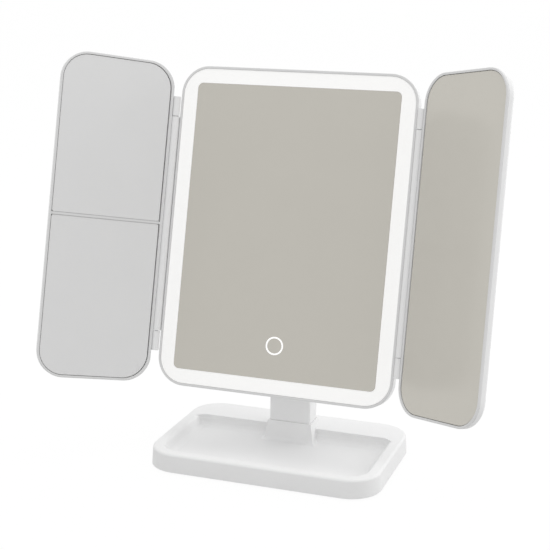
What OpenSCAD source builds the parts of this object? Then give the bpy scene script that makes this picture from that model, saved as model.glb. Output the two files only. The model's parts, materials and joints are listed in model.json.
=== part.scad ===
// Trifold vanity mirror on a cosmetics tray, rechargeable, with a lit ring round the centre mirror.
// Frame: +Z up, the user sits on the -Y side, origin on the table under the middle of the tray.
// A panel (the head or a wing) is drawn flat: x across, y up, z towards the user, z = 0 at its glass.

/* [Head] */
// Width of the silvered centre mirror
mirror_w = 163; // [150:1:180]
// Height of the silvered centre mirror
mirror_h = 224; // [200:1:250]
// Thickness of the centre mirror
mirror_t = 3; // [2:0.5:4]
// Corner radius of the centre mirror
mirror_r = 4; // [2:0.5:8]
// Width of the frosted light ring round the mirror
ring_w = 11.5; // [9:0.5:15]
// Thickness of the frosted light ring
ring_t = 2.4; // [1.5:0.1:3]
// Width of the rim seen round the light ring
rim_w = 1.9; // [1.6:0.1:3]
// Depth of the head, from its glass to its back
head_t = 13; // [12:0.5:18]
// Outer corner radius of the head
head_r = 22; // [18:1:30]
// Radius of the head's rounded back edge
head_edge_r = 4; // [3:0.5:8]
// Wall of the head's rear shell
head_wall = 2; // [1.8:0.1:2.6]

/* [Wings] */
// Width of a wing's glass
pane_w = 84.6; // [70:0.2:86]
// Height of a wing's glass, both panes together
pane_h = 246.2; // [220:0.2:270]
// Thickness of a wing's glass
pane_t = 2; // [1.5:0.1:2.5]
// Corner radius of a wing's glass
pane_r = 19; // [12:0.5:26]
// Rim of a wing beside the hinge, gap included
wing_rim_hinge = 3.4; // [3:0.1:5]
// Rim of a wing at its free side, gap included
wing_rim_free = 1.8; // [1.6:0.1:3]
// Rim of a wing at its top and bottom, gap included
wing_rim_end = 2.3; // [1.8:0.1:3.5]
// Thickness of a wing, from its rim to its back
wing_t = 7.5; // [7:0.1:10]
// Radius of a wing's rounded back edge
wing_edge_r = 3; // [2:0.5:3.5]
// Wall of a wing's back
wing_wall = 1.6; // [1.4:0.1:2]
// Width of the rib between the left wing's panes
rib_w = 2.4; // [1.6:0.1:4]

/* [Hinges] */
// Sideways distance from the head's side to a wing hinge's axis
hinge_side = 3.1; // [3.1:0.1:8]
// Distance of the wing hinges' axes in front of the centre glass
hinge_z = 1.4; // [1.2:0.1:2.4]
// Height of a wing's glass over its hinge axis, when the wing lies flat
wing_lift = 0.2; // [0:0.05:0.4]
// Gap between a hinge axis and the edge of its wing
wing_inset = 2.8; // [2.6:0.1:4]
// Radius of the hinge barrels
barrel_r = 2.8; // [2.4:0.1:2.9]
// Length of the whole hinge barrel
barrel_len = 200; // [160:1:210]
// Length of each short end knuckle
knuckle_len = 15.2; // [12:0.1:24]
// Radius of the hinge pins
hinge_pin_r = 1.2; // [1:0.05:1.3]
// Length of a hinge pin inside the long middle knuckle
pin_grip = 20; // [12:1:30]
// How far the wings are folded forward from flat
wing_fold = 39.5; // [0:0.5:90]

/* [Tilt joint] */
// Backward tilt of the head
head_tilt = 14; // [0:0.5:30]
// Height of the tilt axis over the table
pivot_z = 175.1; // [165:0.5:220]
// Distance from the head's back to the tilt axis
pivot_back = 16; // [15:0.5:22]
// Radius of the tilt shaft
tilt_shaft_r = 3; // [2.5:0.1:3.5]
// Thickness of each yoke ear
ear_t = 6; // [4:0.5:8]
// Radius of the yoke ears round the shaft
ear_r = 8.5; // [7.5:0.5:10]
// Width of the yoke's plate
yoke_w = 62; // [58:1:76]
// Height of the yoke's plate
yoke_h = 60; // [50:1:80]
// Thickness of the yoke's plate
yoke_t = 3; // [2:0.5:3.5]

/* [Neck] */
// Width of the neck
neck_w = 34; // [28:0.5:36]
// Depth of the neck, front to back
neck_d = 18; // [17:0.5:20]
// Wall of the neck's shells
neck_wall = 2; // [1.5:0.1:2.4]
// Distance of the neck's middle behind the middle of the tray
neck_y = 29.7; // [26:0.1:32]
// Width of the steel spine in the neck
spine_w = 20; // [16:0.5:22]
// Thickness of the steel spine
spine_t = 5; // [4:0.5:6]
// Height of the seam between the neck and the tray's column
seam_z = 22.9; // [20:0.1:40]

/* [Base] */
// Width of the tray
tray_w = 185; // [165:1:220]
// Depth of the tray
tray_d = 126; // [118:1:150]
// Height of the tray over its feet
tray_h = 14.5; // [13:0.5:20]
// Corner radius of the tray
tray_r = 25; // [20:1:32]
// Width of the tray's rim at the front and sides
tray_rim = 8; // [7:0.5:12]
// Depth of the flat shelf behind the tray's hollow
shelf_d = 33; // [33:0.5:40]
// Depth of the tray's hollow
hollow_d = 9; // [6:0.5:10]
// Wall of the tray
tray_wall = 2.4; // [2:0.1:3]
// Corner radius of the tray's hollow at the front
hollow_r = 17; // [15:1:22]
// Corner radius of the tray's hollow at the shelf
hollow_rear_r = 11; // [10:1:14]
// Slope of the hollow's front and side walls
slope_angle = 68; // [55:1:75]
// Radius where the hollow's walls meet its floor
floor_fillet = 7; // [3:0.5:8]
// Radius where the hollow's slopes meet the rim
lip_round = 3; // [2:0.5:4]
// How far the tray's sides lean in towards the top
tray_draft = 0.8; // [0:0.1:1.5]
// Width added to the neck's width by the tray's column
column_extra = 2; // [1:0.5:4]
// How far the column's front leans out at its foot
column_toe = 1.5; // [1:0.5:6]
// How far the column's sides lean out at their foot
column_flare = 2; // [0.5:0.1:3]
// Radius between the column's front and the hollow's floor
column_fillet = 5; // [3:0.5:9]
// Thickness of the cover under the tray
bottom_plate_t = 2; // [1.6:0.1:2.5]
// Height of the rubber feet
foot_h = 1.5; // [1:0.1:3]
// Radius of the rubber feet
foot_r = 6; // [4:0.5:9]

/* [Electrics] */
// Radius of the white touch ring
touch_r = 7; // [5:0.5:10]
// Width of the touch ring's line
touch_line = 1.2; // [0.8:0.1:2]
// Height of the touch ring over the mirror's lower edge
touch_up = 25.7; // [20:0.1:40]
// Number of lamps along the ring's long sides
leds_long = 15; // [8:1:20]
// Number of lamps along the ring's short sides
leds_short = 9; // [5:1:12]
// Width of the battery
battery_w = 100; // [60:1:120]
// Height of the battery
battery_h = 46; // [30:1:56]
// Thickness of the battery
battery_t = 4.6; // [3:0.1:4.8]
// Width of the main board
board_w = 60; // [50:1:80]
// Height of the main board
board_h = 34; // [30:1:40]
// Thickness of the circuit boards
board_t = 1.2; // [0.8:0.1:1.6]

/* [Hidden] */
$fn = 48;

// Small clearances, named once
seat_gap = 0.2;      // ring or rib beside its glass
pane_gap = 0.4;      // wing's glass in its frame
pane_gap_hinge = 0.9; // the same, beside the hinge
parting = 0.1;       // line between two covers
run_gap = 0.05;      // pin or shaft in its bush
swing_gap = 0.35;    // a wing's edge round the long knuckle
end_gap = 0.5;       // between knuckle ends
side_gap = 0.1;      // bush flange to yoke ear
hole_gap = 0.2;      // screw in a hole that it only passes through

// Head
rim_proud = 0.4;     // rim in front of its glass, on the head and the wings
rim_soft = 0.6;      // rounding of a rim's outer edge
lip_h = 1.8;         // depth of a rim that shows in front of the parting line
skirt_h = 4.5;       // depth of a rim's hidden skirt
skirt_t = 0.9;
ledge_t = 1;         // shelf inside the bezel that carries the light ring
ledge_w = 2.6;
head_w = mirror_w + 2 * (ring_w + rim_w);
head_h = mirror_h + 2 * (ring_w + rim_w);
glow_w = head_w - 2 * rim_w;
glow_h = head_h - 2 * rim_w;
glow_r = head_r - rim_w;
head_back = -head_t;
head_floor = head_back + head_wall;     // inside of the rear shell
shell_top = rim_proud - lip_h - parting;
hinge_x = head_w / 2 + hinge_side;
flange_proud = 1.7;                     // flanges that carry the long knuckles
tape_t = 0.8;
tape_edge = 4;                          // tape's distance from the mirror's edge
tape_band = 16;                         // width of the tape at the sides
tape_end = 41;                          // width of the tape at the top and bottom
carrier_t = 1.5;
carrier_top = -mirror_t - tape_t;
carrier_w = mirror_w + 4;
carrier_h = mirror_h + 4;
led_board_w = 6;
led_board_t = 1;
led_board_gap = 2.6;                    // from the shell's wall to the lamp board
led_board_r = head_r - head_wall - led_board_gap;
carrier_r = led_board_r - led_board_w - 0.4;
led_size = [3.5, 2.8, 0.8];
led_corner = head_r - 2;                // from the board's corner to the first lamp
rib_h = 0.4;                            // height of the stand-offs under the lamp board
stand_off = 2;                          // their width

// Wings
wing_w = pane_w + wing_rim_hinge + wing_rim_free;
wing_h = pane_h + 2 * wing_rim_end;
wing_r = pane_r + 2.2;
wing_mid = wing_inset + wing_w / 2;
pane_mid = wing_inset + wing_rim_hinge + pane_w / 2;
wing_rim_z = wing_lift + rim_proud;
wing_back_z = wing_rim_z - wing_t;
wing_lip_h = 1.5;
wing_skirt_h = 2.6;
wing_shell_top = wing_rim_z - wing_lip_h - parting;
pane_tape_t = 0.4;
wing_floor_t = 1;                       // plate of the frame behind the glass
wing_floor_z = wing_lift - pane_t - pane_tape_t;
frame_in = 1.5;                         // frame's plate inside the wing's outline
rib_bite = 0.3;                         // rib's ends inside the frame
pin_end = 1.2;                          // from a pin's end to the end of its knuckle
web_drop = 1.2;                         // knuckle's web behind the barrel
pane_step_r = 1.5;                      // pane corners beside the rib
knuckle_in = barrel_len / 2 - knuckle_len;
barrel_in = knuckle_in - end_gap;       // half the long knuckle's length
bush_r = hinge_pin_r + 0.7;
swing_r = barrel_r + swing_gap;

// Tilt joint and neck
pivot_depth = head_t + pivot_back;      // tilt axis behind the centre glass
neck_r = 1.2;
neck_bush_r = tilt_shaft_r + 2;
bush_flange_t = 0.5;
bush_flange_r = neck_bush_r + 2;
ear_in = neck_w / 2 + bush_flange_t + side_gap;
ear_out = ear_in + ear_t;
shaft_head_t = 2.5;
shaft_head_r = tilt_shaft_r + 2;
cap_wall = 1;
cap_r = ear_r - 0.8;
cap_t = shaft_head_t + 1 + cap_wall;
yoke_screw_in = [5, 8];                 // from the yoke's sides to its screws
yoke_screw_x = yoke_w / 2 - yoke_screw_in[0];
yoke_screw_y = yoke_h / 2 - yoke_screw_in[1];
ear_foot = [5, 1.5];                    // thickening where an ear meets the plate
screw_r = 1.5;
screw_head_r = 2.8;
screw_head_t = 1.6;
boss_r = 3.4;
spine_foot_z = 9;
spine_eye_r = neck_bush_r + 1.6;
eye_half = neck_w / 2 - neck_wall;

// Base
tray_z = foot_h;
tray_top = tray_z + tray_h;
floor_z = tray_top - hollow_d;
floor_t = 2.2;
rim_round = 2;                          // outer rounding of the tray's rim
hollow_w = tray_w - 2 * tray_rim;
hollow_h = tray_d - tray_rim - shelf_d;
hollow_y = (tray_rim - shelf_d) / 2;
column_w = neck_w + column_extra;
column_d = neck_d + column_extra;
column_side_fillet = 4;
column_top = seam_z - parting;
neck_screw_x = spine_w * 0.3;
neck_screw_z = tray_z + bottom_plate_t + screw_head_t; // seat of their heads
neck_screw_top = spine_foot_z + 11;     // their tips, inside the spine
plate_gap = 0.2;
plate_w = tray_w - 2 * (tray_wall + plate_gap);
plate_d = tray_d - 2 * (tray_wall + plate_gap);
plate_r = tray_r - tray_wall - plate_gap;
shelf_y = tray_d / 2 - shelf_d;         // front of the shelf
base_screw_in = 15;                     // from the tray's side to its screws
foot_in = [27, 14];                     // from the tray's sides to its feet
ballast_in = column_w / 2 + 6;
ballast_out = tray_w / 2 - base_screw_in - boss_r - 1;
ballast_d = shelf_d - tray_wall - 9;
ballast_y = shelf_y + tray_wall + ballast_d / 2 + 1;
ballast_h = tray_h - bottom_plate_t - tray_wall - 1;
small_screw_r = 1.2;
small_head_r = 2.4;
small_head_t = 0.9;
base_screws_at = [for (x = [-1, 1], y = [-1, 1])
    [x * (tray_w / 2 - base_screw_in), y * (tray_d / 2 - base_screw_in)]];
feet_at = concat([[0, 0]], [for (x = [-1, 1], y = [-1, 1])
    [x * (tray_w / 2 - foot_in[0]), y * (tray_d / 2 - foot_in[1])]]);

// Electrics
touch_y = -mirror_h / 2 + touch_up;
board_y = touch_y - 6;
board_z = head_floor + 1.8;             // back face of the main board
socket_w = 9;
socket_d = 3.3;
socket_wall = 0.35;
socket_x = 20;
socket_y = board_y - board_h / 2 + 6;
battery_y = 72;
spring_r = 2.6;
spring_hole_r = spring_r + 1.4;
battery_z = head_floor + 0.4;
part_in = 10;                           // step of the parts along the main board
controller_size = [9, 9, 1.4];
charger_size = [5, 6, 1.2];
coil_size = [6, 6, 2];
crystal_size = [4, 3, 1];
resistor_size = [2, 1.2, 0.6];
battery_tab = [20, 3.4];                // the battery's own small board
socket_tongue = [6.6, 0.7];
touch_ring_t = 0.12;
lead_r = 0.7;
led_x = head_w / 2 - head_wall - led_board_gap - led_board_w / 2;
led_y = head_h / 2 - head_wall - led_board_gap - led_board_w / 2;
lead_slot_w = 6;                        // way for the lamp lead through the carrier's wall
head_screw_in = [9, 12];                // from the carrier's sides to its screws
head_screw_len = 4.8;
board_screw_in = 4;                     // from the main board's sides to its screws
board_screw_len = 2.6;
head_screws_at = [for (x = [-1, 1], y = [-1, 0, 1])
    [x * (carrier_w / 2 - head_screw_in[0]), y * (carrier_h / 2 - head_screw_in[1])]];
board_screws_at = [for (x = [-1, 1])
    [x * (board_w / 2 - board_screw_in), board_y + board_h / 2 - board_screw_in]];

// ---- Shared shapes ----

// Points of an arc, for a profile
function arc(x, y, r, from, to, steps = 5) =
    [for (i = [0:steps]) let (a = from + (to - from) * i / steps) [x + r * cos(a), y + r * sin(a)]];

// Rectangle with round corners
module rounded(w, h, r) {
    square([w - 2 * r, h], center = true);
    square([w, h - 2 * r], center = true);
    for (x = [-1, 1], y = [-1, 1]) translate([x * (w / 2 - r), y * (h / 2 - r)]) circle(r);
}

// Plate with round corners, from z up by t
module plate(w, h, r, z, t) {
    translate([0, 0, z]) linear_extrude(t) rounded(w, h, r);
}

// Flat ring between two rounded rectangles, from z up by t
module ring_plate(w, h, r, in_w, in_h, in_r, z, t) {
    translate([0, 0, z]) linear_extrude(t) difference() {
        rounded(w, h, r);
        rounded(in_w, in_h, in_r);
    }
}

// Carries a profile round a rounded rectangle: profile x is measured outward from the rectangle
module edge_sweep(w, h, r) {
    for (k = [0:3]) rotate([0, 0, 90 * k]) {
        half = k % 2 == 0 ? w / 2 : h / 2;
        other = k % 2 == 0 ? h / 2 : w / 2;
        translate([half, 0, 0]) rotate([90, 0, 0])
            linear_extrude(2 * (other - r), center = true) children();
        translate([half - r, other - r, 0]) rotate_extrude(angle = 90) translate([r, 0]) children();
    }
}

// Open pan: flat back at z = 0, walls up to depth, rounded back edge, thin tongue at the top
module pan(w, h, r, depth, wall, edge, tongue) {
    edge_sweep(w, h, r) difference() {
        union() {
            translate([-wall, edge]) square([wall, depth - edge]);
            intersection() {
                translate([-edge, edge]) difference() {
                    circle(edge);
                    circle(edge - wall);
                }
                translate([-edge, 0]) square(edge);
            }
        }
        translate([-wall - 1, depth - tongue]) square([wall + 1 - skirt_t, tongue + 1]);
    }
    plate(w - 2 * edge, h - 2 * edge, r - edge, 0, wall);
}

// Front rim of a pan: visible lip, and a skirt that drops inside the pan's tongue
module rim(w, h, r, lip, width, skirt) {
    edge_sweep(w, h, r) {
        polygon(concat(
            [[-width, -lip], [0, -lip]],
            arc(-rim_soft, -rim_soft, rim_soft, 0, 90),
            [[-width, 0]]));
    }
    edge_sweep(w, h, r)
        translate([-skirt_t * 2, -lip - skirt]) square([skirt_t - parting, skirt]);
}

// Pan-head screw: head from z = 0 down, shank up
module screw(length, shank = screw_r, head = screw_head_r, head_t = screw_head_t) {
    slot = 0.6;
    difference() {
        translate([0, 0, -head_t]) cylinder(r = head, h = head_t);
        for (turn = [0, 90]) rotate([0, 0, turn]) translate([-head * slot, -slot / 2, -head_t - 0.01])
            cube([2 * head * slot, slot, slot]);
    }
    cylinder(r = shank, h = length);
}

// Lead laid flat along a list of points: x and y, at height z
module lead(points, z, r) {
    translate([0, 0, z]) linear_extrude(2 * r) {
        for (i = [0:len(points) - 2]) {
            step = points[i + 1] - points[i];
            translate(points[i]) rotate([0, 0, atan2(step[1], step[0])])
                translate([0, -r]) square([norm(step), 2 * r]);
        }
        for (i = [1:len(points) - 2]) translate(points[i]) circle(r);
    }
}

// Puts a flat-drawn head panel in its place on the tilt axis
module in_head() {
    translate([0, neck_y, pivot_z]) rotate([-head_tilt, 0, 0]) translate([0, -pivot_depth, 0])
        rotate([90, 0, 0]) children();
}

// Puts a flat-drawn wing, hinge axis at x = 0, on its side of the head: side is 1 or -1
module in_wing(side) {
    in_head() mirror([side < 0 ? 1 : 0, 0, 0]) translate([hinge_x, 0, hinge_z])
        rotate([0, -wing_fold, 0]) children();
}

// Puts a cylinder along Y, from y0 to y1, on a hinge axis
module along_y(r, y0, y1) {
    translate([0, y0, 0]) rotate([-90, 0, 0]) cylinder(r = r, h = y1 - y0);
}

// Puts a cylinder along X, from x0 to x1, on the tilt axis
module along_x(r, x0, x1) {
    translate([x0, 0, 0]) rotate([0, 90, 0]) cylinder(r = r, h = x1 - x0);
}

// ---- Base ----

// Pocket with its floor at z = 0: the child is the profile of its wall, out to inset from the wall
module pocket(w, h, r, inset) {
    edge_sweep(w, h, r) children();
    plate(w - 2 * inset, h - 2 * inset, r - inset, 0, hollow_d + 1);
}

// The hollow that holds cosmetics: soft slopes at the front and sides, a steep wall at the shelf
module tray_hollow() {
    turn = 1 - cos(slope_angle);
    reach = (lip_round + floor_fillet) * sin(slope_angle)
        + (hollow_d - (lip_round + floor_fillet) * turn) / tan(slope_angle);
    inset = ceil(reach);
    rear_inset = ceil(floor_fillet) + 1;
    past = inset + hollow_r;
    translate([0, hollow_y, floor_z]) intersection() {
        translate([0, past / 2, 0]) pocket(hollow_w, hollow_h + past, hollow_r, inset)
            polygon(concat(
                [[-inset, 0]],
                arc(-reach, floor_fillet, floor_fillet, 270, 270 + slope_angle),
                arc(0, hollow_d - lip_round, lip_round, 90 + slope_angle, 90),
                [[0, hollow_d + 1], [-inset, hollow_d + 1]]));
        translate([0, -past / 2, 0]) pocket(hollow_w + 1, hollow_h + past, hollow_rear_r, rear_inset)
            polygon(concat(
                [[-rear_inset, 0]],
                arc(-floor_fillet, floor_fillet, floor_fillet, 270, 360),
                [[0, hollow_d + 1], [-rear_inset, hollow_d + 1]]));
    }
}

// Outside of the tray, solid
module tray_block() {
    inset = 6;
    translate([0, 0, tray_z]) {
        edge_sweep(tray_w, tray_d, tray_r)
            polygon(concat(
                [[-inset, 0], [0, 0]],
                arc(-tray_draft - rim_round, tray_h - rim_round, rim_round, 0, 90),
                [[-inset, tray_h]]));
        plate(tray_w - 2 * inset, tray_d - 2 * inset, tray_r - inset, 0, tray_h);
    }
}

// Space under the tray for its cover, under the rim and under the shelf
module tray_underside() {
    inset = tray_wall + parting;
    rim_in = tray_rim - tray_wall;
    below = 1;
    plate(tray_w - 2 * tray_wall, tray_d - 2 * tray_wall, tray_r - tray_wall, -below,
        floor_z - floor_t + below);
    translate([0, 0, -below]) linear_extrude(tray_top - tray_wall + below) difference() {
        rounded(tray_w - 2 * inset, tray_d - 2 * inset, tray_r - inset);
        translate([-tray_w / 2 + rim_in, -tray_d / 2 + rim_in])
            square([tray_w - 2 * rim_in, tray_d - rim_in - shelf_d + tray_wall]);
        translate([-tray_w / 2 + tray_r, 0]) square([tray_w - 2 * tray_r, tray_d]);
    }
    // Under the shelf, clear of the column
    translate([0, 0, -2 * below]) linear_extrude(tray_top - tray_wall - parting + 2 * below) difference() {
        translate([-tray_w / 2 + tray_r - 1, shelf_y + tray_wall])
            square([tray_w - 2 * tray_r + 2, shelf_d - 2 * tray_wall - parting * 2]);
        translate([0, neck_y]) square([column_w + 6, column_d + 6], center = true);
    }
}

// Outline of the column seen from one side: half is half its width at the top
module column_outline(half, lean, fillet) {
    foot = half + lean;
    difference() {
        polygon([[0, 0], [foot + fillet, 0], [foot + fillet, fillet], [foot, fillet],
            [half, column_top - floor_z], [0, column_top - floor_z]]);
        translate([foot + fillet, fillet]) circle(fillet);
    }
}

// Column under the neck: its front and sides run out into the hollow's floor
module tray_column() {
    reach = column_w / 2 + column_flare + column_side_fillet;
    translate([0, neck_y, floor_z]) intersection() {
        rotate([90, 0, 90]) linear_extrude(2 * reach, center = true) {
            mirror([1, 0]) column_outline(column_d / 2, column_toe, column_fillet);
            square([column_d / 2, column_top - floor_z]);
        }
        rotate([90, 0, 0]) linear_extrude(4 * column_d, center = true) for (side = [0, 1])
            mirror([side, 0]) column_outline(column_w / 2, column_flare, column_side_fillet);
    }
}

module base_tray() {
    color("#f1f1ef") difference() {
        union() {
            difference() {
                tray_block();
                tray_hollow();
                tray_underside();
            }
            tray_column();
            for (p = base_screws_at) translate([p[0], p[1], tray_z + bottom_plate_t]) {
                boss_top = 0.5 + (p[1] > 0 ? tray_top - tray_wall : floor_z - 1);
                cylinder(r = boss_r, h = boss_top - tray_z - bottom_plate_t);
            }
        }
        translate([-spine_w / 2, neck_y - spine_t / 2, spine_foot_z])
            cube([spine_w, spine_t, seam_z]);
        for (x = [-1, 1]) translate([x * neck_screw_x, neck_y, 0]) {
            cylinder(r = screw_r, h = spine_foot_z + 1);
            cylinder(r = screw_head_r + 2 * hole_gap, h = neck_screw_z);
        }
        for (p = base_screws_at) translate([p[0], p[1], 0]) cylinder(r = small_screw_r, h = floor_z - 1);
    }
}

module base_bottom_plate() {
    color("#e4e4e2") difference() {
        plate(plate_w, plate_d, plate_r, tray_z, bottom_plate_t);
        for (p = base_screws_at) translate([p[0], p[1], 0]) {
            cylinder(r = small_screw_r + hole_gap, h = 10);
            cylinder(r = small_head_r + hole_gap, h = tray_z + 1);
        }
        for (p = feet_at) translate([p[0], p[1], 0]) cylinder(r = foot_r, h = tray_z + 0.5);
    }
}

module ballast_blocks() {
    color("#7d8084") for (side = [-1, 1])
        translate([side * (ballast_in + ballast_out) / 2, ballast_y, 0])
            plate(ballast_out - ballast_in, ballast_d, 2, tray_z + bottom_plate_t, ballast_h);
}

module rubber_feet() {
    color("#c9c9c9") for (p = feet_at) translate([p[0], p[1], 0]) cylinder(r = foot_r, h = foot_h + 0.5);
}

module base_screws() {
    color("#9a9da1") for (p = base_screws_at) translate([p[0], p[1], tray_z + 1])
        screw(floor_z - tray_z - 2, small_screw_r, small_head_r, small_head_t);
}

// ---- Neck ----

// Outline of the neck, with its round top on the tilt axis
module neck_body(inset) {
    intersection() {
        translate([0, neck_y, 0])
            plate(neck_w - 2 * inset, neck_d - 2 * inset, max(neck_r - inset, 0.3), seam_z, pivot_z);
        union() {
            translate([-neck_w, neck_y - neck_d, seam_z]) cube([2 * neck_w, 2 * neck_d, pivot_z - seam_z]);
            translate([0, neck_y, pivot_z]) along_x(neck_d / 2 - inset, -neck_w, neck_w);
        }
    }
}

module neck_opening(gap) {
    opening_w = neck_w - 2 * (neck_wall + 1) + 2 * gap;
    opening_top = pivot_z - neck_d / 2 - 6 + gap;
    translate([-opening_w / 2, neck_y + neck_d / 2 - neck_wall - 0.01, seam_z - 1])
        cube([opening_w, neck_wall + 1, opening_top - seam_z + 1]);
}

module neck_front_shell() {
    color("#efefed") difference() {
        neck_body(0);
        difference() {
            neck_body(neck_wall);
            translate([-neck_w, 0, seam_z - 1]) cube([2 * neck_w, neck_y * 2, neck_wall + 1]);
        }
        neck_opening(0);
        translate([-spine_w / 2, neck_y - spine_t / 2, 0]) cube([spine_w, spine_t, seam_z + neck_wall + 1]);
        translate([0, neck_y, pivot_z]) along_x(neck_bush_r, -neck_w, neck_w);
    }
}

module neck_rear_cover() {
    color("#ebebe9") intersection() {
        neck_body(0);
        neck_opening(-parting);
        translate([-neck_w, 0, seam_z]) cube([2 * neck_w, neck_y * 3, pivot_z]);
    }
}

module neck_spine() {
    color("#9a9da1") difference() {
        union() {
            translate([-spine_w / 2, neck_y - spine_t / 2, spine_foot_z])
                cube([spine_w, spine_t, pivot_z - spine_foot_z]);
            translate([0, neck_y, pivot_z]) along_x(spine_eye_r, -eye_half, eye_half);
        }
        translate([0, neck_y, pivot_z]) along_x(neck_bush_r, -neck_w, neck_w);
        for (x = [-1, 1]) translate([x * neck_screw_x, neck_y, 0])
            cylinder(r = screw_r, h = neck_screw_top + 1);
    }
}

module neck_screws() {
    color("#8e9195") for (x = [-1, 1])
        translate([x * neck_screw_x, neck_y, neck_screw_z]) screw(neck_screw_top - neck_screw_z);
}

module neck_bushes() {
    bush_in = 3;  // from the middle of the neck to a bush
    color("#d8d2c0") for (side = [0, 1]) translate([0, neck_y, pivot_z]) mirror([side, 0, 0])
        difference() {
            union() {
                along_x(neck_bush_r, bush_in, neck_w / 2 + bush_flange_t);
                along_x(bush_flange_r, neck_w / 2, neck_w / 2 + bush_flange_t);
            }
            along_x(tilt_shaft_r + run_gap, 0, neck_w);
        }
}

// ---- Tilt joint, on the back of the head ----

// Runs its children on the tilt axis, in the head's frame
module on_tilt_axis() {
    in_head() translate([0, 0, -pivot_depth]) children();
}

module tilt_yoke() {
    color("#e8e8e6") in_head() difference() {
        union() {
            plate(yoke_w, yoke_h, 8, head_back - yoke_t, yoke_t);
            for (side = [0, 1]) mirror([side, 0, 0]) {
                translate([ear_in, -ear_r, -pivot_depth]) cube([ear_t, 2 * ear_r, pivot_back - 0.5]);
                translate([ear_in, -ear_r - ear_foot[0], head_back - yoke_t - ear_foot[1]])
                    cube([ear_t, 2 * (ear_r + ear_foot[0]), ear_foot[1] + 0.5]);
                translate([0, 0, -pivot_depth]) along_x(ear_r, ear_in, ear_out);
            }
        }
        translate([0, 0, -pivot_depth]) along_x(tilt_shaft_r, -neck_w, neck_w);
        for (x = [-1, 1], y = [-1, 1])
            translate([x * yoke_screw_x, y * yoke_screw_y, head_back - yoke_t - 1]) {
                cylinder(r = screw_r + 0.1, h = yoke_t + 2);
                cylinder(r = screw_head_r + 0.1, h = 1 + screw_head_t);
            }
    }
}

module tilt_shaft() {
    color("#9a9da1") on_tilt_axis() {
        along_x(tilt_shaft_r, -ear_out - shaft_head_t, ear_out);
        along_x(shaft_head_r, ear_out, ear_out + shaft_head_t);
    }
}

module tilt_nut() {
    color("#8e9195") on_tilt_axis() difference() {
        translate([-ear_out - shaft_head_t, 0, 0]) rotate([0, 90, 0])
            cylinder(r = shaft_head_r, h = shaft_head_t, $fn = 6);
        along_x(tilt_shaft_r, -2 * neck_w, neck_w);
    }
}

module yoke_screws() {
    color("#9a9da1") in_head() for (x = [-1, 1], y = [-1, 1])
        translate([x * yoke_screw_x, y * yoke_screw_y, head_back - yoke_t + screw_head_t]) screw(6);
}

module yoke_caps() {
    color("#efefed") on_tilt_axis() for (side = [0, 1]) mirror([side, 0, 0]) difference() {
        union() {
            along_x(cap_r, ear_out, ear_out + cap_t - 1);
            translate([ear_out + cap_t - 1, 0, 0]) rotate([0, 90, 0])
                cylinder(r1 = cap_r, r2 = cap_r - 1, h = 1);
        }
        along_x(cap_r - cap_wall, ear_out - 1, ear_out + cap_t - cap_wall);
    }
}

// ---- Head ----

module head_rear_shell() {
    color("#efefed") in_head() difference() {
        union() {
            translate([0, 0, head_back])
                pan(head_w, head_h, head_r, shell_top - head_back, head_wall, head_edge_r, skirt_h);
            for (side = [0, 1]) mirror([side, 0, 0]) {
                // Flange along the side, and the long knuckle that it carries
                flange_z = head_back + head_edge_r;
                translate([head_w / 2 - skirt_t + 0.05, -barrel_in, flange_z])
                    cube([skirt_t - 0.05 + flange_proud, 2 * barrel_in, shell_top - flange_z]);
                translate([head_w / 2 + parting * 3, -barrel_in, shell_top - 1])
                    cube([hinge_x - head_w / 2 - parting * 3, 2 * barrel_in, hinge_z - shell_top + 1]);
                translate([hinge_x, 0, hinge_z]) along_y(barrel_r, -barrel_in, barrel_in);
            }
            // Bosses for the yoke's screws
            for (x = [-1, 1], y = [-1, 1]) translate([x * yoke_screw_x, y * yoke_screw_y, head_floor - 0.5])
                cylinder(r = boss_r, h = 4);
            // Posts under the main board
            for (p = board_screws_at) translate([p[0], p[1], head_floor - 0.5])
                cylinder(r = small_head_r, h = board_z - head_floor + 0.5);
            // Stand-offs under the lamp board
            for (x = [-1, 1], y = [-2:2]) translate([x * led_x, y * head_h / 6, head_floor - 0.5])
                translate([-stand_off / 2, -stand_off / 2]) cube([stand_off, stand_off, rib_h + 0.5]);
        }
        // Bores for the friction bushes in the long knuckles
        for (side = [0, 1]) mirror([side, 0, 0]) translate([hinge_x, 0, hinge_z]) {
            along_y(bush_r, barrel_in - pin_grip, barrel_in + 1);
            along_y(bush_r, -barrel_in - 1, pin_grip - barrel_in);
        }
        for (x = [-1, 1], y = [-1, 1]) translate([x * yoke_screw_x, y * yoke_screw_y, head_back - 1])
            cylinder(r = screw_r, h = 6);
        // Sunk holes for the screws that hold the mirror's carrier
        for (p = head_screws_at) translate([p[0], p[1], head_back - 1]) {
            cylinder(r = small_screw_r + hole_gap, h = 10);
            cylinder(r = small_head_r + hole_gap, h = 2);
        }
        for (p = board_screws_at) translate([p[0], p[1], head_floor]) cylinder(r = small_screw_r, h = 10);
        // Mouth for the charging plug
        translate([socket_x, socket_y, head_back - 1]) linear_extrude(head_wall + 2)
            rounded(socket_w + 0.4, socket_d + 0.4, (socket_d + 0.4) / 2 - 0.05);
    }
}

module head_bezel() {
    color("#dededd") in_head() {
        translate([0, 0, rim_proud]) rim(head_w, head_h, head_r, lip_h, rim_w, skirt_h);
        // Ledge that carries the light ring, joined to the skirt
        edge_sweep(head_w, head_h, head_r)
            translate([-rim_w - ledge_w, -ring_t - ledge_t])
                square([rim_w + ledge_w - skirt_t - parting, ledge_t]);
    }
}

module light_diffuser() {
    color("#fbfbf8") in_head() ring_plate(
        glow_w - 2 * seat_gap, glow_h - 2 * seat_gap, glow_r - seat_gap,
        mirror_w + 2 * seat_gap, mirror_h + 2 * seat_gap, mirror_r + seat_gap, -ring_t, ring_t);
}

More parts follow.
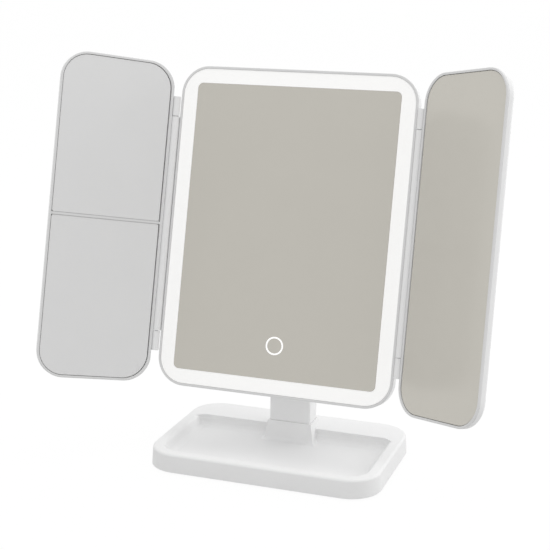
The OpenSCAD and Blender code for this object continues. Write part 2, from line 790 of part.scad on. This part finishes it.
module centre_mirror() {
    color("#bbb8af") in_head() plate(mirror_w, mirror_h, mirror_r, -mirror_t, mirror_t);
}

module touch_ring() {
    color("#ffffff") in_head() translate([0, touch_y, 0]) linear_extrude(touch_ring_t) difference() {
        circle(touch_r);
        circle(touch_r - touch_line);
    }
}

module mirror_tape() {
    color("#3c3c3e") in_head() difference() {
        ring_plate(mirror_w - 2 * tape_edge, mirror_h - 2 * tape_edge, mirror_r,
            mirror_w - 2 * (tape_edge + tape_band), mirror_h - 2 * (tape_edge + tape_end), mirror_r,
            -mirror_t - tape_t, tape_t);
        translate([0, touch_y, carrier_top]) cylinder(r = spring_hole_r + 1, h = tape_t);
    }
}

module mirror_carrier() {
    post_h = carrier_top - carrier_t - head_floor;
    color("#f6f6f6") in_head() difference() {
        union() {
            plate(carrier_w, carrier_h, carrier_r, carrier_top - carrier_t, carrier_t);
            ring_plate(carrier_w, carrier_h, carrier_r, carrier_w - 3, carrier_h - 3, carrier_r - 1.5,
                head_floor, post_h + 0.5);
            for (p = head_screws_at) translate([p[0], p[1], head_floor])
                cylinder(r = boss_r, h = post_h + 0.5);
        }
        for (p = head_screws_at) translate([p[0], p[1], head_floor - 1])
            cylinder(r = small_screw_r, h = head_screw_len);
        translate([0, touch_y, carrier_top - carrier_t]) cylinder(r = spring_hole_r, h = carrier_t);
        translate([-lead_slot_w / 2, -carrier_h / 2 - 1, head_floor - 1])
            cube([lead_slot_w, 4, board_z - head_floor + 1.2]);
    }
}

module led_board() {
    w = head_w - 2 * (head_wall + led_board_gap);
    h = head_h - 2 * (head_wall + led_board_gap);
    color("#f4f4f2") in_head() ring_plate(w, h, led_board_r, w - 2 * led_board_w, h - 2 * led_board_w,
        led_board_r - led_board_w, head_floor + rib_h, led_board_t);
}

module leds() {
    color("#f3e9b8") in_head() translate([0, 0, head_floor + rib_h + led_board_t]) {
        for (side = [-1, 1], i = [0:leds_long - 1])
            translate([side * led_x, (i / (leds_long - 1) - 0.5) * 2 * (led_y - led_corner), 0])
                rotate([0, 0, 90]) translate([-led_size[0] / 2, -led_size[1] / 2]) cube(led_size);
        for (side = [-1, 1], i = [0:leds_short - 1])
            translate([(i / (leds_short - 1) - 0.5) * 2 * (led_x - led_corner), side * led_y, 0])
                translate([-led_size[0] / 2, -led_size[1] / 2]) cube(led_size);
    }
}

module main_board() {
    color("#2f6b45") in_head() difference() {
        translate([-board_w / 2, board_y - board_h / 2, board_z]) cube([board_w, board_h, board_t]);
        for (p = board_screws_at) translate([p[0], p[1], board_z - 1])
            cylinder(r = small_screw_r + hole_gap, h = board_t + 2);
    }
}

module board_parts() {
    left = -board_w / 2;
    low = -board_h / 2;
    color("#26272a") in_head() translate([0, board_y, board_z + board_t]) {
        translate([left + part_in, low + part_in + 1]) cube(controller_size);
        translate([left + 2.4 * part_in, low + part_in / 2]) cube(charger_size);
        translate([left + 3.8 * part_in, low + part_in * 0.7]) cube(coil_size);
        translate([left + 4.6 * part_in, -1]) cube(crystal_size);
        for (i = [0:4]) translate([left + (1.6 + 0.6 * i) * part_in, board_h / 2 - 6]) cube(resistor_size);
    }
}

module touch_spring() {
    color("#b9bcc0") in_head() translate([0, touch_y, board_z + board_t]) difference() {
        cylinder(r = spring_r, h = -mirror_t - board_z - board_t);
        cylinder(r = spring_r - 0.5, h = -mirror_t - board_z - board_t);
    }
}

module battery_pack() {
    color("#b9bdc4") in_head() translate([0, battery_y, 0]) {
        plate(battery_w, battery_h, 2, battery_z, battery_t);
        translate([0, -battery_h / 2 - 1.5, 0])
            plate(battery_tab[0], battery_tab[1], 0.8, battery_z, battery_t - 1.5);
    }
}

module battery_tape() {
    color("#f0f0ee") in_head() translate([0, battery_y, 0])
        plate(battery_w - 20, battery_h - 12, 1, head_floor, battery_z - head_floor);
}

module usb_socket() {
    depth = board_z - head_back - 0.3;
    color("#aeb1b5") in_head() translate([socket_x, socket_y, board_z - depth]) {
        linear_extrude(depth) difference() {
            rounded(socket_w, socket_d, socket_d / 2 - 0.05);
            rounded(socket_w - 2 * socket_wall, socket_d - 2 * socket_wall,
                socket_d / 2 - socket_wall - 0.05);
        }
        plate(socket_w, socket_d, socket_d / 2 - 0.05, depth - 0.4, 0.4);
        translate([0, 0, 1]) plate(socket_tongue[0], socket_tongue[1], 0.3, 0, depth - 1);
    }
}

module battery_lead() {
    y0 = battery_y - battery_h / 2 - 3.2;
    y1 = board_y + board_h / 2;
    x = yoke_screw_x + 8;
    color("#c23b34") in_head() for (i = [0, 1]) lead([
        [4 - 3 * i, y0], [4 - 3 * i, y0 - 4 - 2 * i], [x - 3 * i, y0 - 14 - i], [x - 3 * i, y1 + 12 - i],
        [25 - 3 * i, y1 + 4], [25 - 3 * i, y1]], board_z, lead_r);
}

module led_lead() {
    y0 = board_y - board_h / 2;
    y1 = -head_h / 2 + head_wall + led_board_gap + led_board_w + 0.02;
    color("#d9d9d9") in_head() for (x = [-1.2, 1.2])
        lead([[x, y0 + 2], [x, y1 + 2], [x, y1]], board_z - 2 * lead_r, lead_r);
}

module head_screws() {
    color("#9a9da1") in_head() for (p = head_screws_at) translate([p[0], p[1], head_back + 1])
        screw(head_screw_len, small_screw_r, small_head_r, small_head_t);
}

module board_screws() {
    color("#9a9da1") in_head() for (p = board_screws_at) translate([p[0], p[1], board_z + board_t])
        mirror([0, 0, 1]) screw(board_screw_len, small_screw_r, small_head_r, small_head_t);
}

// ---- Wings, drawn flat with the hinge axis along y at x = 0 ----

module wing_back(side) {
    color("#efefed") in_wing(side) difference() {
        union() {
            difference() {
                translate([wing_mid, 0, wing_back_z])
                    pan(wing_w, wing_h, wing_r, wing_shell_top - wing_back_z, wing_wall, wing_edge_r,
                        wing_skirt_h);
                along_y(swing_r, -wing_h, wing_h);
            }
            // Short end knuckles, with their webs to the wing's wall
            for (end = [0, 1]) mirror([0, end, 0]) {
                along_y(barrel_r, knuckle_in, barrel_len / 2);
                translate([0, knuckle_in, -barrel_r - web_drop])
                    cube([wing_inset + skirt_t, knuckle_len, barrel_r + web_drop + wing_shell_top]);
            }
        }
        for (end = [0, 1]) mirror([0, end, 0])
            along_y(hinge_pin_r, knuckle_in - 1, barrel_len / 2 - pin_end);
    }
}

// Rim round the glass with the plate behind it
module wing_frame(side) {
    color("#e6e6e4") in_wing(side) difference() {
        union() {
            difference() {
                union() {
                    translate([wing_mid, 0, wing_rim_z])
                        rim(wing_w, wing_h, wing_r, wing_lip_h, wing_rim_free, wing_skirt_h);
                    translate([wing_mid, 0, 0])
                        plate(wing_w - 2 * frame_in, wing_h - 2 * frame_in, wing_r - frame_in,
                            wing_floor_z - wing_floor_t, wing_rim_z - wing_floor_z + wing_floor_t - 0.05);
                }
                translate([pane_mid + (pane_gap - pane_gap_hinge) / 2, 0, 0])
                    plate(pane_w + pane_gap + pane_gap_hinge, pane_h + 2 * pane_gap,
                        pane_r + pane_gap, wing_floor_z, wing_t);
            }
            children();
        }
        along_y(swing_r, -wing_h, wing_h);
    }
}

module left_wing_back() {
    wing_back(-1);
}

module left_wing_frame() {
    rib_z = wing_floor_z - 0.1;
    rib_len = pane_w + pane_gap + pane_gap_hinge + 2 * rib_bite;
    rib_x = pane_mid - pane_w / 2 - pane_gap_hinge - rib_bite;
    wing_frame(-1) translate([rib_x, -rib_w / 2 + seat_gap, rib_z])
        cube([rib_len, rib_w - 2 * seat_gap, wing_rim_z - 0.1 - rib_z]);
}

// One of the left wing's two panes: up is 1 for the upper pane and -1 for the lower
module half_pane(up, inset, z, t) {
    top = pane_h / 2 - inset;
    low = rib_w / 2 + inset;
    w = pane_w - 2 * inset;
    translate([pane_mid, 0, z]) linear_extrude(t) intersection() {
        rounded(w, 2 * top, pane_r - inset);
        translate([0, up * (low + top) / 2]) union() {
            square([w - 2 * pane_step_r, top - low], center = true);
            translate([0, up * pane_step_r]) square([w, top - low], center = true);
            for (x = [-1, 1]) translate([x * (w / 2 - pane_step_r), up * (pane_step_r - (top - low) / 2)])
                circle(pane_step_r);
        }
    }
}

module left_upper_mirror() {
    color("#d3d3d3") in_wing(-1) half_pane(1, 0, wing_lift - pane_t, pane_t);
}

module left_lower_mirror() {
    color("#cfcfcf") in_wing(-1) half_pane(-1, 0, wing_lift - pane_t, pane_t);
}

module left_mirror_tape() {
    color("#3c3c3e") in_wing(-1) for (up = [-1, 1]) half_pane(up, 0, wing_floor_z, pane_tape_t);
}

module right_wing_back() {
    wing_back(1);
}

module right_wing_frame() {
    wing_frame(1);
}

module right_mirror() {
    color("#b5b3ab") in_wing(1) translate([pane_mid, 0, 0])
        plate(pane_w, pane_h, pane_r, wing_lift - pane_t, pane_t);
}

module right_mirror_tape() {
    color("#3c3c3e") in_wing(1) translate([pane_mid, 0, 0])
        plate(pane_w, pane_h, pane_r, wing_floor_z, pane_tape_t);
}

// Pins fixed in the wing's end knuckles, turning in the head's bushes
module hinge_pins(side) {
    color("#9a9da1") in_wing(side) for (end = [0, 1]) mirror([0, end, 0])
        along_y(hinge_pin_r, barrel_in - pin_grip + 1, barrel_len / 2 - pin_end);
}

// Friction bushes in the head's long knuckle
module hinge_bushes(side) {
    color("#d8d2c0") in_head() mirror([side < 0 ? 1 : 0, 0, 0]) translate([hinge_x, 0, hinge_z])
        for (end = [0, 1]) mirror([0, end, 0]) difference() {
            along_y(bush_r, barrel_in - pin_grip, barrel_in);
            along_y(hinge_pin_r + run_gap, barrel_in - pin_grip + 0.8, barrel_in + 1);
        }
}

module left_hinge_pins() {
    hinge_pins(-1);
}

module left_hinge_bushes() {
    hinge_bushes(-1);
}

module right_hinge_pins() {
    hinge_pins(1);
}

module right_hinge_bushes() {
    hinge_bushes(1);
}

// ---- One line for each piece ----

base_tray();
base_bottom_plate();
ballast_blocks();
rubber_feet();
base_screws();
neck_front_shell();
neck_rear_cover();
neck_spine();
neck_screws();
neck_bushes();
tilt_yoke();
tilt_shaft();
tilt_nut();
yoke_screws();
yoke_caps();
head_rear_shell();
head_bezel();
light_diffuser();
centre_mirror();
touch_ring();
mirror_tape();
mirror_carrier();
led_board();
leds();
main_board();
board_parts();
touch_spring();
battery_pack();
battery_tape();
usb_socket();
battery_lead();
led_lead();
head_screws();
board_screws();
left_wing_back();
left_wing_frame();
left_upper_mirror();
left_lower_mirror();
left_mirror_tape();
left_hinge_pins();
left_hinge_bushes();
right_wing_back();
right_wing_frame();
right_mirror();
right_mirror_tape();
right_hinge_pins();
right_hinge_bushes();
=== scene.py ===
"""Looks of the trifold vanity mirror: camera, light, and a finish for each piece."""

import json

import bpy
from mathutils import Matrix, Vector

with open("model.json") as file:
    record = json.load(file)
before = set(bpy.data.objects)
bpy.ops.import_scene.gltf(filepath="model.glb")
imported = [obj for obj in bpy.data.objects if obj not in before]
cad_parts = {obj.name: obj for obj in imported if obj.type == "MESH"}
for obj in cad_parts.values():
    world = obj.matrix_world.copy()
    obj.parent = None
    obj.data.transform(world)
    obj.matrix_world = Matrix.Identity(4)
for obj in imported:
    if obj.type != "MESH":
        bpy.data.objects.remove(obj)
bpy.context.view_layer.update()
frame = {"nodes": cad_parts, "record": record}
NODES = frame["nodes"]

MM = 0.001
WHITE = (1.0, 1.0, 1.0, 1.0)

# The photograph's camera: its place in the frame's millimetres, and where it looks
CAMERA_AT = Vector((305.46, -902.99, 389.75)) * MM
CAMERA_RIGHT = Vector((0.9441179, 0.32942427, 0.01100176))
CAMERA_UP = Vector((-0.09050443, 0.22699801, 0.96968080))
CAMERA_FORWARD = Vector((-0.31693901, 0.91648871, -0.24412724))
CAMERA_NEAR = 10.0 * MM
LENS = 83.68
SENSOR = 36.0

# Light: an even sky, and two soft lamps that lift the tops and the right sides over the fronts
SKY = 0.895
LAMPS = {
    # name: (place, side of its square, watts)
    "top_lamp": ((0.1, 0.1, 1.8), 1.2, 7.6),
    "right_lamp": ((1.5, 1.0, 0.6), 1.0, 7.4),
}
LAMPS_AIM = (0.0, 0.0, 0.15)

# Floor
FLOOR_REACH = 8.0  # to each side of the origin
FLOOR_GREY = 0.6
FLOOR_ROUGH = 0.9
WHITE_SHARE = 0.93  # share of plain white in the floor where it is seen directly
FLOOR_WHITE = 1.03  # strength of that white, which leaves the shadow on the floor

# Noise: its scales, per metre, and the middle part of its range that shifts a colour
DRIFT_SCALE = 14.0  # slow drift of tone over a moulding
HAZE_SCALE = 25.0  # over a mirror
CLOUD_SCALE = 60.0  # in frosted white
FROST_SCALE = 2500.0  # grain of frosted white
TONE_ENDS = (0.35, 0.65)

# How much darker the low tone of a finish is: taken off its colour, or a share of it
MOULDED_TINT = 0.012
CLOUD_TINT = 0.008
METAL_SHADE = 0.85
MIRROR_SHADE = 0.99
WARM_GREEN = 0.3  # the share of a grey's warmth that its green gives up

# How far a finish's roughness drifts below and above its plain value
MOULDED_DRIFT = (-0.04, 0.05)
METAL_DRIFT = (-0.06, 0.08)
MIRROR_DRIFT = (0.0, 0.01)
FROST_DRIFT = (0.0, 0.1)

SATIN_GLOSS = 0.2  # specular level of the moulded plastics, whose sides stay soft at a low angle
FINE_DEPTH = 0.004 * MM  # bump of metals and frosted white
MIRROR_METAL = 0.1  # metallic share of a mirror
MIRROR_ROUGH = 0.12
FROST_ROUGH = 0.5
FROST_GLOW = (1.0, 1.0, 0.985, 1.0)


# ---- Materials ----


def new_material(name):
    material = bpy.data.materials.new(name)
    material.use_nodes = True
    tree = material.node_tree
    return material, tree, tree.nodes["Principled BSDF"]


def link(tree, a, out, b, into):
    tree.links.new(a.outputs[out], b.inputs[into])


def noise(tree, scale, detail=2.0, roughness=0.5):
    """Noise in the piece's own metres, so that it rides with the piece."""
    place = tree.nodes.new("ShaderNodeTexCoord")
    node = tree.nodes.new("ShaderNodeTexNoise")
    node.inputs["Scale"].default_value = scale
    node.inputs["Detail"].default_value = detail
    node.inputs["Roughness"].default_value = roughness
    link(tree, place, "Object", node, "Vector")
    return node


def tone(tree, source, low, high, shader):
    """Lets a noise drift the shader's colour between two tones."""
    node = tree.nodes.new("ShaderNodeValToRGB")
    for stop, place, colour in zip(node.color_ramp.elements, TONE_ENDS, (low, high)):
        stop.position = place
        stop.color = (*colour, 1.0)
    link(tree, source, "Fac", node, "Fac")
    link(tree, node, "Color", shader, "Base Color")


def sheen(tree, source, rough, drift, shader):
    """Lets a noise drift the shader's roughness around its plain value."""
    node = tree.nodes.new("ShaderNodeMapRange")
    node.inputs["To Min"].default_value = rough + drift[0]
    node.inputs["To Max"].default_value = rough + drift[1]
    link(tree, source, "Fac", node, "Value")
    link(tree, node, "Result", shader, "Roughness")


def bump(tree, source, height, shader):
    node = tree.nodes.new("ShaderNodeBump")
    node.inputs["Distance"].default_value = height
    link(tree, source, "Fac", node, "Height")
    link(tree, node, "Normal", shader, "Normal")


def grey(level, warm=0.0):
    """A grey, with a little less green and blue where it is warm."""
    return (level, level - warm * WARM_GREEN, level - warm)


def moulded(name, colour, rough=0.42, grain=900.0, height=0.01 * MM):
    """Moulded plastic: a slight drift of tone, a fine grain, and a sheen that varies a little."""
    material, tree, shader = new_material(name)
    darker = [max(0.0, c - MOULDED_TINT) for c in colour]
    tone(tree, noise(tree, DRIFT_SCALE, detail=3.0), darker, colour, shader)
    fine = noise(tree, grain, detail=3.0, roughness=0.6)
    sheen(tree, fine, rough, MOULDED_DRIFT, shader)
    shader.inputs["Specular IOR Level"].default_value = SATIN_GLOSS
    bump(tree, fine, height, shader)
    return material


def metal(name, colour, rough=0.3, grain=600.0):
    """Metal with a fine mottle of darker spots, which shifts its sheen too."""
    material, tree, shader = new_material(name)
    shader.inputs["Metallic"].default_value = 1.0
    mottle = noise(tree, grain, detail=4.0)
    tone(tree, mottle, [c * METAL_SHADE for c in colour], colour, shader)
    sheen(tree, mottle, rough, METAL_DRIFT, shader)
    bump(tree, mottle, FINE_DEPTH, shader)
    return material


def silvered(name, colour):
    """Mirror glass, mostly an even tone, with a faint and soft reflection over it."""
    material, tree, shader = new_material(name)
    shader.inputs["Metallic"].default_value = MIRROR_METAL
    haze = noise(tree, HAZE_SCALE)
    tone(tree, haze, [c * MIRROR_SHADE for c in colour], colour, shader)
    sheen(tree, haze, MIRROR_ROUGH, MIRROR_DRIFT, shader)
    return material


def frosted(name, colour, glow):
    """Frosted white, which carries a little light of its own."""
    material, tree, shader = new_material(name)
    tone(tree, noise(tree, CLOUD_SCALE), [c - CLOUD_TINT for c in colour], colour, shader)
    fine = noise(tree, FROST_SCALE)
    sheen(tree, fine, FROST_ROUGH, FROST_DRIFT, shader)
    bump(tree, fine, FINE_DEPTH, shader)
    shader.inputs["Emission Color"].default_value = FROST_GLOW
    shader.inputs["Emission Strength"].default_value = glow
    return material


FINISH = {
    "white_shell": moulded("white_satin_plastic", grey(0.84)),
    "white_shell_dull": moulded(
        "white_grained_plastic", grey(0.80), rough=0.5, grain=700.0, height=0.02 * MM
    ),
    "base_cover": moulded("base_cover_plastic", grey(0.74), rough=0.55, grain=600.0, height=0.03 * MM),
    "rim_plastic": moulded("rim_satin_plastic", grey(0.72), rough=0.35),
    "frosted_ring": frosted("frosted_light_ring", grey(0.88, warm=0.01), glow=0.19),
    "centre_silver": silvered("centre_mirror_silver", (0.573, 0.551, 0.497)),
    "wing_silver": silvered("wing_mirror_silver", grey(0.735)),
    "print_white": frosted("touch_ring_print", grey(0.93), glow=0.3),
    "foam_tape": moulded("foam_tape", (0.05, 0.05, 0.055), rough=0.8, grain=1500.0, height=0.05 * MM),
    "carrier_plastic": moulded("carrier_plastic", grey(0.85), rough=0.45),
    "board_white": moulded("white_board", grey(0.85, warm=0.02), rough=0.4),
    "board_green": moulded("green_board", (0.02, 0.14, 0.06), rough=0.35),
    "chip_black": moulded("chip_black", (0.02, 0.02, 0.022), rough=0.5, grain=2000.0),
    "lamp_yellow": moulded("lamp_phosphor", (0.85, 0.72, 0.30), rough=0.3),
    "spring_steel": metal("spring_steel", (0.62, 0.62, 0.63)),
    "socket_steel": metal("socket_steel", (0.60, 0.60, 0.61), rough=0.25),
    "battery_silver": metal("battery_foil", (0.62, 0.63, 0.65), rough=0.38, grain=120.0),
    "lead_red": moulded("red_lead", (0.45, 0.03, 0.02), rough=0.45),
    "lead_grey": moulded("grey_lead", grey(0.5), rough=0.45),
    "steel": metal("plated_steel", (0.55, 0.55, 0.56)),
    "screw_steel": metal("screw_steel", (0.52, 0.52, 0.53), rough=0.28),
    "bush_plastic": moulded("bush_plastic", grey(0.10), rough=0.45),
    "rubber": moulded("soft_rubber", grey(0.42), rough=0.75, grain=1200.0, height=0.03 * MM),
}

# With the centre's finish the right glass renders darker, and the photograph shows both alike
PAINTED_LIGHT_FINISH = {
    # painted light: the right glass gets a lighter copy of the centre's silver, standing in for the
    # light the turned wing lacks
    "right_mirror": silvered("right_mirror_painted_lighter_silver", (0.61, 0.587, 0.53)),
}


def dress_nodes():
    """Gives each CAD node its own finish where one is listed, a lighter copy with painted light for
    the right glass, or else the finish of its slot.
    """
    for part in frame["record"]["subparts"]:
        node = NODES[part["node"]]
        finish = PAINTED_LIGHT_FINISH.get(part["node"], FINISH[part["material_slot"]])
        node.data.materials.clear()
        node.data.materials.append(finish)


# ---- Stage, light and camera ----


def seen_directly(tree):
    """1 where the camera, a gloss or a glass looks at the surface."""
    path = tree.nodes.new("ShaderNodeLightPath")
    most = path.outputs["Is Camera Ray"]
    for name in ("Is Glossy Ray", "Is Transmission Ray"):
        node = tree.nodes.new("ShaderNodeMath")
        node.operation = "MAXIMUM"
        tree.links.new(most, node.inputs[0])
        tree.links.new(path.outputs[name], node.inputs[1])
        most = node.outputs[0]
    return most


def make_floor():
    """A pale floor, seen as nearly plain white, with the object's shadow on it."""
    mesh = bpy.data.meshes.new("floor")
    signs = ((-1, -1), (1, -1), (1, 1), (-1, 1))
    corners = [(FLOOR_REACH * x, FLOOR_REACH * y, 0) for x, y in signs]
    mesh.from_pydata(corners, [], [(0, 1, 2, 3)])
    floor = bpy.data.objects.new("floor", mesh)
    bpy.context.scene.collection.objects.link(floor)
    material, tree, shader = new_material("floor_white")
    shader.inputs["Base Color"].default_value = (*grey(FLOOR_GREY), 1.0)
    shader.inputs["Roughness"].default_value = FLOOR_ROUGH
    white = tree.nodes.new("ShaderNodeEmission")
    white.inputs["Color"].default_value = WHITE
    white.inputs["Strength"].default_value = FLOOR_WHITE
    share = tree.nodes.new("ShaderNodeMath")
    share.operation = "MULTIPLY"
    share.inputs[1].default_value = WHITE_SHARE
    tree.links.new(seen_directly(tree), share.inputs[0])
    mix = tree.nodes.new("ShaderNodeMixShader")
    link(tree, share, 0, mix, "Fac")
    link(tree, shader, "BSDF", mix, 1)
    link(tree, white, "Emission", mix, 2)
    link(tree, mix, "Shader", tree.nodes["Material Output"], "Surface")
    mesh.materials.append(material)


def make_world():
    """An even sky, seen directly as plain white."""
    world = bpy.data.worlds.new("studio")
    bpy.context.scene.world = world
    world.use_nodes = True
    tree = world.node_tree
    sky = tree.nodes["Background"]
    sky.inputs["Color"].default_value = WHITE
    sky.inputs["Strength"].default_value = SKY
    white = tree.nodes.new("ShaderNodeBackground")
    white.inputs["Color"].default_value = WHITE
    white.inputs["Strength"].default_value = 1.0
    mix = tree.nodes.new("ShaderNodeMixShader")
    tree.links.new(seen_directly(tree), mix.inputs["Fac"])
    link(tree, sky, "Background", mix, 1)
    link(tree, white, "Background", mix, 2)
    link(tree, mix, "Shader", tree.nodes["World Output"], "Surface")


def make_lamps():
    for name, (place, side, watts) in LAMPS.items():
        data = bpy.data.lights.new(name, "AREA")
        data.size = side
        data.energy = watts
        lamp = bpy.data.objects.new(name, data)
        lamp.location = place
        way = Vector(LAMPS_AIM) - Vector(place)
        lamp.rotation_euler = way.to_track_quat("-Z", "Y").to_euler()
        bpy.context.scene.collection.objects.link(lamp)


def make_camera():
    data = bpy.data.cameras.new("photo_camera")
    data.sensor_width = SENSOR
    data.lens = LENS
    data.clip_start = CAMERA_NEAR
    camera = bpy.data.objects.new("photo_camera", data)
    turn = Matrix((CAMERA_RIGHT, CAMERA_UP, -CAMERA_FORWARD)).transposed()
    camera.matrix_world = Matrix.Translation(CAMERA_AT) @ turn.to_4x4()
    bpy.context.scene.collection.objects.link(camera)
    bpy.context.scene.camera = camera


bpy.context.scene.view_settings.view_transform = "Standard"
make_camera()
make_world()
make_lamps()
make_floor()
dress_nodes()
